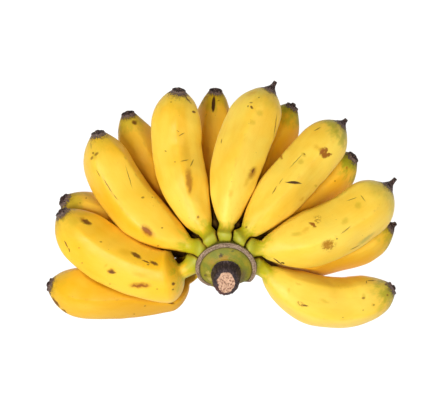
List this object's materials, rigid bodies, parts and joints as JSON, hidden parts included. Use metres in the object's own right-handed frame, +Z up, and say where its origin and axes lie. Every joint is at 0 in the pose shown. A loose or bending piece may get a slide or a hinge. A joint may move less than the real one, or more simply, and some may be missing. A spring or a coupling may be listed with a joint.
{
  "type": "hand of apple bananas",
  "caption": "Hand of small plump yellow bananas on a cut crown with a stub of bunch stalk, fanned in two rows that curl up at the ends.",
  "frame": {"origin": "on the surface that the hand lies on, under the middle of its box", "axes": "+Z up; +X along the hand's width, from the viewer's left to right; the stub of the bunch stalk leans up and towards -Y, and the fingers fan out to -X, +Y and +X"},
  "size_m": [0.2707, 0.1889, 0.0703],
  "materials": {
    "peel": "ripe waxy banana peel, satin, yellow with green necks and brown marks",
    "crown": "green crown with a corky bract scar, dark stub and pale fibrous cut face"
  },
  "bodies": {
    "root": {"crown_stalk": "crown", "finger_front_1": "peel", "finger_front_2": "peel", "finger_front_3": "peel", "finger_front_4": "peel", "finger_front_5": "peel", "finger_front_6": "peel", "finger_front_7": "peel", "finger_back_1": "peel", "finger_back_2": "peel", "finger_back_3": "peel", "finger_back_4": "peel", "finger_back_5": "peel", "finger_back_6": "peel", "finger_back_7": "peel"}
  },
  "joints": []
}
